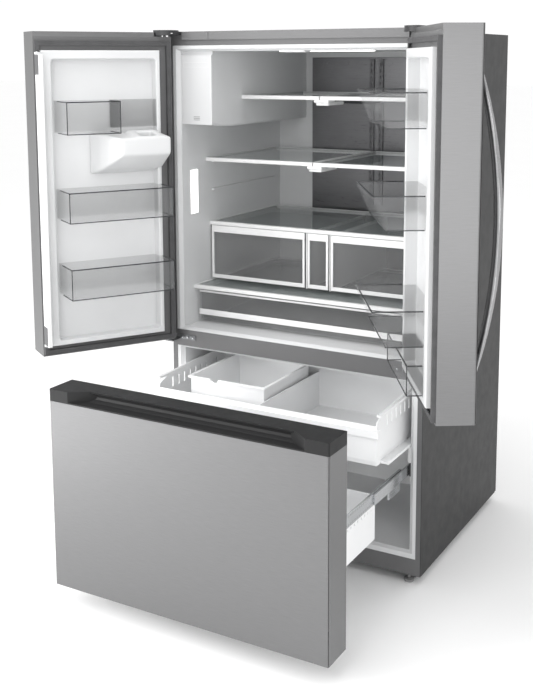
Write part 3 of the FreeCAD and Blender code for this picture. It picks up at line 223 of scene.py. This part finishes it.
MATERIALS = {
    "stainless": brushed("stainless", (0.21, 0.21, 0.212), 0.33),
    "handle_steel": brushed("handle_steel", (0.36, 0.36, 0.365), 0.22, across=800.0, depth=0.000004),
    "case_paint": painted("case_paint", (0.022, 0.022, 0.0225), 0.45, coat=0.02, shine=0.22),
    "frame_paint": painted("frame_paint", (0.12, 0.12, 0.122), 0.46),
    "galvanised": zinc("galvanised", (0.22, 0.225, 0.23), 0.42),
    "slide_zinc": brushed("slide_zinc", (0.50, 0.51, 0.52), 0.2, across=500.0),
    "liner_white": plastic("liner_white", (0.68, 0.685, 0.69), 0.34),
    # painted light: a paler white than liner_white for the same plastic, to lift the shade that falls inside the
    # baskets
    "basket_white": plastic("basket_white", (0.87, 0.875, 0.88), 0.4),
    "trim_white": plastic("trim_white", (0.80, 0.80, 0.80), 0.2),
    "trim_grey": painted("trim_grey", (0.15, 0.15, 0.152), 0.4),
    "cover_dark": plastic("cover_dark", (0.03, 0.03, 0.032), 0.4),
    "cap_dark": painted("cap_dark", (0.02, 0.02, 0.0205), 0.52, coat=0.02, shine=0.22),
    "gasket_grey": rubber("gasket_grey", (0.07, 0.07, 0.072)),
    "mullion_dark": plastic("mullion_dark", (0.085, 0.085, 0.088), 0.5),
    "bin_clear": clear("bin_clear", (0.34, 0.345, 0.35), 0.09),
    # painted shade: a near-black, mostly opaque look for the clear bins' thick edges, standing in for the darkness
    # that light bending in them gives
    "bin_rim_painted_dark": clear("bin_rim_painted_dark", (0.03, 0.032, 0.035), 0.8, 0.1),
    "drawer_clear": clear("drawer_clear", (0.5, 0.505, 0.51), 0.11),
    "shelf_glass": clear("shelf_glass", (0.42, 0.47, 0.465), 0.26, 0.02),
    "panel_metal": brushed("panel_metal", (0.17, 0.17, 0.175), 0.3, across=900.0, depth=0.000002),
    "strip_metal": zinc("strip_metal", (0.16, 0.16, 0.165), 0.35),
    "lens_white": lamp("lens_white", (1.0, 0.99, 0.97), 2.5),
    "foam": foam("foam", (0.86, 0.80, 0.62)),
    "foot_plastic": plastic("foot_plastic", (0.22, 0.22, 0.22), 0.6),
    "compressor_black": painted("compressor_black", (0.02, 0.02, 0.02), 0.35),
    "coil_metal": zinc("coil_metal", (0.62, 0.60, 0.56), 0.35),
    "fan_black": plastic("fan_black", (0.03, 0.03, 0.03), 0.5),
    "rear_grey": plastic("rear_grey", (0.08, 0.08, 0.085), 0.55),
    "inlet_white": plastic("inlet_white", (0.75, 0.75, 0.72), 0.4),
    "dispenser_dark": plastic("dispenser_dark", (0.02, 0.02, 0.022), 0.14, vary=0.15),
}
# nodes whose look differs from the rest of their record slot
OWN_LOOKS = {"drawer_cap": "cap_dark", "flip_mullion": "trim_white", "shelf_ladder": "strip_metal"}


def dress_frame():
    """Gives every node of the frame its finished material."""
    for part in frame["record"]["subparts"]:
        thing = frame["nodes"][part["node"]]
        thing.data.materials.clear()
        thing.data.materials.append(MATERIALS[OWN_LOOKS.get(part["node"], part["material_slot"])])


# ------------------------------------------------------------------ reading the frame
def shut_to_rest(side=0):
    """From the shut layout, with y = 0 on the cabinet's front, to rest: a door's, or the cabinet's with 0."""
    moved = Matrix.Translation((0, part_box("front_frame")[0].y, 0))
    if not side:
        return moved
    hinge = JOINTS[f"{DOORS[side]}_hinge"]
    pivot = Matrix.Translation(hinge["pos_m"])
    swing = Matrix.Rotation(-math.radians(hinge["range_deg"][0]), 4, Vector(hinge["axis"]))
    return pivot @ swing @ pivot.inverted() @ moved


def laid_shut(node, side=0):
    """A node's points in the shut layout."""
    back = shut_to_rest(side).inverted()
    return [back @ vertex.co for vertex in frame["nodes"][node].data.vertices]


def span(points):
    """The lowest and highest corners of some points."""
    return tuple(Vector(pick(point[i] for point in points) for i in range(3)) for pick in (min, max))


def solids_of(node):
    """The span of each separate solid of a node, in the shut layout."""
    points = laid_shut(node)
    owner = list(range(len(points)))

    def root(index):
        while owner[index] != index:
            owner[index] = owner[owner[index]]
            index = owner[index]
        return index

    # the frame's faces don't share points, so points at one place are tied together first
    places = {}
    for index, point in enumerate(points):
        place = tuple(round(value, 6) for value in point)
        owner[root(index)] = root(places.setdefault(place, index))
    for edge in frame["nodes"][node].data.edges:
        owner[root(edge.vertices[0])] = root(edge.vertices[1])
    groups = {}
    for index, point in enumerate(points):
        groups.setdefault(root(index), []).append(point)
    return sorted((span(group) for group in groups.values()), key=lambda s: (s[1].z, s[0].x))


# ------------------------------------------------------------------ pieces
def piece(name, boxes, body, slot, bevel=0.6 * MM, place=None, looks=None):
    """One piece made of bevelled blocks, each ((x, x), (y, y), (z, z)), riding on a body."""
    points, faces = [], []
    for (x0, x1), (y0, y1), (z0, z1) in boxes:
        first = len(points)
        points += [(x, y, z) for z in (z0, z1) for x, y in ((x0, y0), (x1, y0), (x1, y1), (x0, y1))]
        for face in ((3, 2, 1, 0), (4, 5, 6, 7), (0, 1, 5, 4), (1, 2, 6, 5), (2, 3, 7, 6), (3, 0, 4, 7)):
            faces.append(tuple(first + corner for corner in face))
    mesh = bpy.data.meshes.new(name)
    mesh.from_pydata(points, [], faces)
    mesh.update()
    thing = bpy.data.objects.new(name, mesh)
    bpy.context.collection.objects.link(thing)
    mesh.materials.append(MATERIALS[looks or slot])
    edge = thing.modifiers.new("edge", "BEVEL")
    edge.width = bevel
    edge.segments = 3
    thing.matrix_world = place or shut_to_rest()
    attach(thing, body)
    return thing


def ring(x, y, z, border):
    """Four blocks round a rectangle in X and Z; border is one width, or (left, right, bottom, top)."""
    left, right, bottom, top = border if isinstance(border, tuple) else (border,) * 4
    (x0, x1), (z0, z1) = x, z
    middle = (z0 + bottom, z1 - top)
    return [
        ((x0, x1), y, (z0, z0 + bottom)), ((x0, x1), y, (z1 - top, z1)),
        ((x0, x0 + left), y, middle), ((x1 - right, x1), y, middle),
    ]


def mirrored(side, inner, outer):
    """The X range between two distances from the middle plane, on one side."""
    return tuple(sorted((side * inner, side * outer)))


def moulded_copy(node, body):
    """A copy of a node that stands in its place, with its points merged and smooth shading."""
    mesh = frame["nodes"][node].data.copy()
    thing = bpy.data.objects.new(f"{node}_moulded", mesh)
    bpy.context.collection.objects.link(thing)
    shape = bmesh.new()
    shape.from_mesh(mesh)
    bmesh.ops.remove_doubles(shape, verts=shape.verts, dist=0.002 * MM)
    bmesh.ops.dissolve_limit(shape, angle_limit=math.radians(1), verts=shape.verts, edges=shape.edges)
    shape.to_mesh(mesh)
    shape.free()
    mesh.shade_smooth()
    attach(thing, body)
    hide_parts(node)
    return thing


def add_mouldings():
    """Smooth bows for the handles, a rounded rim on the ice bin, and a softened dispenser bulge."""
    for door in DOORS.values():
        bow = moulded_copy(f"{door}_handle", door)
        bow.data.set_sharp_from_angle(angle=math.radians(62))
    edge = moulded_copy("ice_bin", "upper_basket").modifiers.new("edge", "BEVEL")
    edge.width = 1.2 * MM
    edge.segments = 4
    edge.angle_limit = math.radians(25)
    bulge = moulded_copy("dispenser_housing", "left_door")
    remesh = bulge.modifiers.new("grain", "REMESH")
    remesh.mode = "VOXEL"
    remesh.voxel_size = 2.2 * MM
    remesh.use_smooth_shade = True
    smooth = bulge.modifiers.new("soft", "SMOOTH")
    smooth.iterations = 45
    smooth.factor = 0.8


def add_drawer_fronts():
    """White frames round the clear windows of the crispers, and the deli drawer's two rails."""
    proud, thick = 0.4 * MM, 6 * MM
    stile, sill, head = 8 * MM, 13 * MM, 23 * MM
    grip_inset, grip_low, grip_top, grip_proud, grip_thick = 14 * MM, 17 * MM, 12 * MM, 0.9 * MM, 2 * MM
    for name in ("crisper_left", "crisper_middle", "crisper_right"):
        low, high = span(laid_shut(name))
        piece(f"{name}_frame", [
            *ring((low.x, high.x), (low.y - proud, low.y + thick), (low.z, high.z),
                  (stile, stile, sill, head)),
            ((low.x + grip_inset, high.x - grip_inset), (low.y - grip_proud, low.y + grip_thick),
             (high.z - grip_low, high.z - grip_top)),
        ], name, "trim_white", bevel=1.2 * MM)
    low, high = span(laid_shut("deli_drawer"))
    rail_low, rail_tall, lip_tall = low.z + 24 * MM, 20 * MM, 7 * MM
    rail_y, lip_y = (low.y - 0.3 * MM, low.y + 3 * MM), (low.y + 1.6 * MM, low.y + 4 * MM)
    piece("deli_rails", [
        ((low.x, high.x), rail_y, (rail_low, rail_low + rail_tall)),
        ((low.x, high.x), lip_y, (high.z - lip_tall, high.z)),
    ], "deli_drawer", "trim_white", bevel=1.1 * MM)


def add_shelf_edges():
    """A nosing along each glass shelf's front, and the rounded cap of the bracket under each seam."""
    widest_divider = 100 * MM
    shelves = [box for box in solids_of("shelf_trims") if box[1].x - box[0].x > widest_divider]
    proud, thick, from_top, to_low = 0.6 * MM, 1 * MM, 1 * MM, 8 * MM
    for number, (low, high) in enumerate(shelves):
        piece(f"nosing_{number}", [
            ((low.x, high.x), (low.y - proud, low.y + thick), (high.z - to_low, high.z - from_top)),
        ], "cabinet", "trim_white", bevel=0.5 * MM)
    overlap, width, front, back = 18 * MM, 54 * MM, 3 * MM, 46 * MM
    cap_low, cap_top = 9 * MM, 1 * MM
    stem_inset, stem_front, stem_back, stem_low, stem_top = 4 * MM, 4 * MM, 120 * MM, 18 * MM, 6 * MM
    seams = [(low, high) for low, high in shelves if high.x < 0]
    for number, (low, high) in enumerate(seams):
        left = high.x - overlap
        right = left + width
        piece(f"bracket_cap_{number}", [
            ((left, right), (low.y - front, low.y + back), (low.z - cap_low, low.z + cap_top)),
            ((left + stem_inset, right - stem_inset), (low.y + stem_front, low.y + stem_back),
             (low.z - stem_low, low.z - stem_top)),
        ], "cabinet", "trim_white", bevel=3.6 * MM)


def add_door_backs():
    """The dark inner border of each door, with two raised seal ribs round it."""
    edge, below_hinge, gap, sunk, proud = 1 * MM, 15 * MM, 0.2 * MM, 0.05 * MM, 0.5 * MM
    rib_insets, rib_width, rib_sunk, rib_proud = (4 * MM, 10 * MM), 2 * MM, 1.6 * MM, 0.25 * MM
    insets = (edge, edge, edge, below_hinge)
    for side, body in DOORS.items():
        place = shut_to_rest(side)
        low, high = span(laid_shut(f"{body}_skin", side))
        inner_low, inner_high = span(laid_shut(f"{body}_liner", side))
        border = (inner_low.x - low.x, high.x - inner_high.x, inner_low.z - low.z, high.z - inner_high.z)
        piece(f"{body}_border", ring(
            (low.x + edge, high.x - edge), (high.y - sunk, high.y + proud),
            (low.z + edge, high.z - below_hinge),
            tuple(width - inset - gap for width, inset in zip(border, insets)),
        ), body, "frame_paint", bevel=0.2 * MM, place=place)
        low, high = span(laid_shut(f"{body}_gasket", side))
        ribs = []
        for inset in rib_insets:
            ribs += ring((low.x + inset, high.x - inset), (high.y - rib_sunk, high.y + rib_proud),
                         (low.z + inset, high.z - inset), rib_width)
        piece(f"{body}_seal_ribs", ribs, body, "gasket_grey", bevel=0.7 * MM, place=place)


def add_bin_rims():
    """The thick edges of each clear bin, painted dark as a stand-in for the shade that light bending in thick
    clear plastic gives: its rolled rim, its foot and its front corners.
    """
    rim, foot, proud, near, off_liner = 3.2 * MM, 2.6 * MM, 0.3 * MM, 1 * MM, 2 * MM
    for name in BINS:
        side = LEFT if name.startswith("left") else RIGHT
        points = laid_shut(name, side)
        low, high = span(points)
        far = span([p for p in points if p.y > high.y - near])
        base = span([p for p in points if p.z < low.z + near and far[0].x - near < p.x < far[1].x + near])
        x0, x1 = far[0].x, far[1].x
        start = span(laid_shut(f"{DOORS[side]}_liner", side))[1].y + off_liner
        bars = []
        for reach, z, wide in ((high.y, (high.z - rim, high.z + proud), rim),
                               (base[1].y, (low.z - proud, low.z + foot), foot)):
            bars += [
                ((x0, x1), (reach - wide, reach + proud), z),
                ((x0 - proud, x0 + wide), (start, reach - wide), z),
                ((x1 - wide, x1 + proud), (start, reach - wide), z),
            ]
        if base[1].y > high.y - near:
            upright = (low.z + foot, high.z - rim)
            bars += [((x, x + foot), (high.y - foot, high.y + proud), upright) for x in (x0, x1 - foot)]
        # the bin's own clear plastic, given the painted dark rim look in place of its real clear colour
        piece(f"{name}_edges", bars, DOORS[side], "bin_clear", bevel=0.8 * MM, place=shut_to_rest(side),
              looks="bin_rim_painted_dark")


def add_mullion_caps():
    """Dark end caps on the flip mullion's outer side, and a shallow white rib down its inner side."""
    low, high = span(laid_shut("flip_mullion", LEFT))
    pin, tall = 8 * MM, 62 * MM
    bottom, top = low.z + pin, high.z - pin
    cap_x, cap_y = (low.x + 5 * MM, high.x + 0.15 * MM), (low.y + 2 * MM, high.y - 4 * MM)
    piece("mullion_caps", [(cap_x, cap_y, (bottom, bottom + tall)), (cap_x, cap_y, (top - tall, top))],
          "flip_mullion", "mullion_dark", bevel=1.6 * MM, place=shut_to_rest(LEFT))
    middle, rib_half, rib_proud, rib_sunk = (low.y + high.y) / 2, 3 * MM, 0.6 * MM, 1 * MM
    piece("mullion_rib", [((low.x - rib_proud, low.x + rib_sunk), (middle - rib_half, middle + rib_half),
                           (bottom + tall, top - tall))],
          "flip_mullion", "mullion_dark", bevel=0.4 * MM, place=shut_to_rest(LEFT), looks="trim_white")


def add_ice_maker_marks():
    """Plain raised ticks low on the ice maker's cover, and a shallow blank plate near its top."""
    low, high = span(laid_shut("ice_maker_cover"))
    face = (low.y - 0.3 * MM, low.y + 0.5 * MM)
    middle, tick_half, tick_tall = (low.x + high.x) / 2, 12 * MM, 1.6 * MM
    ticks = [((middle - tick_half, middle + tick_half), face, (low.z + rise, low.z + rise + tick_tall))
             for rise in (14 * MM, 19 * MM, 24 * MM)]
    piece("ice_cover_ticks", ticks, "cabinet", "trim_grey", bevel=0.3 * MM)
    plate_inset, plate_low, plate_top, plate_edge = 9 * MM, 40 * MM, 24 * MM, 0.8 * MM
    plate = ring((low.x + plate_inset, high.x - plate_inset), face,
                 (high.z - plate_low, high.z - plate_top), plate_edge)
    piece("ice_cover_plate", plate, "cabinet", "trim_white", bevel=0.2 * MM)


def add_slide_details():
    """Ball cages on the drawer's slides, and at the cabinet's front dark clips and white blocks."""
    low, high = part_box("drawer_slides")
    fixed_top = span(laid_shut("fixed_slides"))[1]
    rail_low, rail_high = span(laid_shut("middle_slides"))
    balls, first, pitch, ball_long, ball_tall = 28, 40 * MM, 14 * MM, 6 * MM, 5 * MM
    ball_heights = (rail_low.z + 1 * MM, rail_high.z - 6 * MM)
    sunk, proud = 0.05 * MM, 0.45 * MM
    front, clip_back, block_back = 14.6 * MM, 17.6 * MM, 17.4 * MM
    clip_gap, clip_past = 0.3 * MM, 4 * MM
    block_wide, block_thin, block_rise, foot_top, foot_low = 11 * MM, 4 * MM, 6 * MM, 6 * MM, 22 * MM
    for side, name in ((LEFT, "left"), (RIGHT, "right")):
        cage_x = mirrored(side, high.x + sunk, high.x + proud)
        cage = [(cage_x, (low.y + first + pitch * n, low.y + first + pitch * n + ball_long),
                 (z, z + ball_tall)) for n in range(balls) for z in ball_heights]
        piece(f"ball_cage_{name}", cage, "freezer_drawer", "slide_zinc", bevel=0.15 * MM, place=Matrix())
        piece(f"slide_clip_{name}", [
            (mirrored(side, rail_high.x + clip_gap, fixed_top.x), (front, clip_back),
             (rail_low.z - clip_past, rail_high.z + clip_past)),
        ], "cabinet", "cover_dark", bevel=1 * MM)
        piece(f"slide_block_{name}", [
            (mirrored(side, fixed_top.x - block_wide, fixed_top.x), (front, block_back),
             (rail_high.z + block_rise, fixed_top.z)),
            (mirrored(side, fixed_top.x - block_thin, fixed_top.x), (front, block_back),
             (rail_low.z - foot_low, rail_low.z - foot_top)),
        ], "cabinet", "trim_white", bevel=1.2 * MM)


def add_hinge_screws():
    """Domed screw heads on the middle hinge plates."""
    highest_plate, head_half, end_room = 1.0, 3 * MM, 30 * MM
    head_y, head_low, head_top = (-7 * MM, -2.6 * MM), 5 * MM, 11 * MM
    for number, (low, high) in enumerate(solids_of("hinge_brackets")):
        if high.z > highest_plate:
            continue
        side = RIGHT if low.x > 0 else LEFT
        near, far = sorted((abs(low.x), abs(high.x)))
        heads = []
        for part_way in (0.15, 0.5, 0.85):
            x = side * (near + (far - near - end_room) * part_way)
            heads.append(((x - head_half, x + head_half), head_y, (low.z + head_low, low.z + head_top)))
        piece(f"hinge_heads_{number}", heads, "cabinet", "galvanised", bevel=1.4 * MM, looks="slide_zinc")


def add_rear_flanges():
    """The folded sheet that closes the cabinet's two rear corners beside the back panel."""
    skin, lap, sheet = 1.3 * MM, 0.5 * MM, 1.1 * MM
    high = span(laid_shut("cabinet_wrapper"))[1]
    back = span(laid_shut("back_panel"))[1].y
    foam_low = span(laid_shut("insulation_foam"))[0].z
    cover = span(laid_shut("machine_cover"))[1]
    for side, name in ((LEFT, "left"), (RIGHT, "right")):
        piece(f"rear_flange_{name}", [
            (mirrored(side, high.x - skin, high.x), (high.y, back), (foam_low, high.z)),
            (mirrored(side, cover.x + lap, high.x), (back - sheet, back), (foam_low, cover.z)),
        ], "cabinet", "case_paint", bevel=0.3 * MM)


# ------------------------------------------------------------------ stage, light and camera
def add_floor():
    reach = 60
    corners = [(-reach, -reach, 0), (reach, -reach, 0), (reach, reach, 0), (-reach, reach, 0)]
    mesh = bpy.data.meshes.new("floor")
    mesh.from_pydata(corners, [], [(0, 1, 2, 3)])
    floor = bpy.data.objects.new("floor", mesh)
    bpy.context.collection.objects.link(floor)
    made = Shader("floor", roughness=0.85)
    made.colour(made.remap(made.noise(scale=0.7), low=0, high=1), (0.975,) * 3, (0.985,) * 3)
    mesh.materials.append(made.material)


def area_light(name, place, target, size, power):
    data = bpy.data.lights.new(name, "AREA")
    data.shape = "RECTANGLE"
    data.size, data.size_y = size
    data.energy = power
    light = bpy.data.objects.new(name, data)
    light.location = place
    light.rotation_euler = (Vector(target) - Vector(place)).to_track_quat("-Z", "Y").to_euler()
    bpy.context.collection.objects.link(light)


def add_lights():
    """Broad soft light from the left, above and low at the right, one on the floor in front at the
    left for the drawer's steel to mirror, and a weak one into the food compartment."""
    centre, left_floor, compartment = (0, -0.1, 0.9), (-1.1, -1.4, 0), (0, 0.6, 1.2)
    area_light("key", (-3.2, -4.2, 3.0), centre, size=(2.2, 3.0), power=80)
    area_light("fill", (3.4, -3.5, 0.9), centre, size=(1.2, 2.4), power=26)
    area_light("overhead", (0, -1.2, 4.4), centre, size=(3.0, 3.0), power=40)
    area_light("low_left", (-2.1, -2.1, 0.9), left_floor, size=(0.7, 0.7), power=40)
    area_light("inside", (0.0, -1.9, 1.7), compartment, size=(1.4, 1.2), power=12)


def add_surround():
    """A white surround, with a broad soft grey flag in front and to the left for the steel to mirror."""
    flag_towards = Vector((-0.3, -0.95, -0.05)).normalized()
    flag = {"From Min": 0.74, "From Max": 0.98, "To Min": 1.0, "To Max": 0.12}
    world = bpy.data.worlds.new("surround")
    world.use_nodes = True
    tree = world.node_tree
    facing = tree.nodes.new("ShaderNodeVectorMath")
    facing.operation = "DOT_PRODUCT"
    facing.inputs[1].default_value = flag_towards
    tree.links.new(tree.nodes.new("ShaderNodeTexCoord").outputs["Generated"], facing.inputs[0])
    fade = tree.nodes.new("ShaderNodeMapRange")
    fade.interpolation_type = "SMOOTHSTEP"
    for socket, number in flag.items():
        fade.inputs[socket].default_value = number
    tree.links.new(facing.outputs["Value"], fade.inputs["Value"])
    tree.links.new(fade.outputs["Result"], tree.nodes["Background"].inputs["Color"])
    tree.nodes["Background"].inputs["Strength"].default_value = 1.03
    bpy.context.scene.world = world
    bpy.context.scene.view_settings.view_transform = "Standard"


def add_camera():
    place = (1.55855, -2.90823, 1.60334)
    yaw, pitch, roll = math.radians(29.288), math.radians(-8.184), math.radians(-0.169)
    forward = Vector((-math.sin(yaw) * math.cos(pitch), math.cos(yaw) * math.cos(pitch), math.sin(pitch)))
    right = Vector((math.cos(yaw), math.sin(yaw), 0))
    up = right.cross(forward)
    turn = Matrix((right, up, -forward)).transposed() @ Matrix.Rotation(roll, 3, "Z")
    data = bpy.data.cameras.new("camera")
    data.sensor_width = 36
    data.lens = 53.842
    data.shift_x = -0.02048
    data.shift_y = -0.2
    camera = bpy.data.objects.new("camera", data)
    camera.matrix_world = Matrix.Translation(place) @ turn.to_4x4()
    bpy.context.collection.objects.link(camera)
    bpy.context.scene.camera = camera


add_camera()
dress_frame()
add_mouldings()
add_drawer_fronts()
add_shelf_edges()
add_door_backs()
add_bin_rims()
add_mullion_caps()
add_ice_maker_marks()
add_slide_details()
add_hinge_screws()
add_rear_flanges()
add_floor()
add_lights()
add_surround()

bpy.context.view_layer.update()
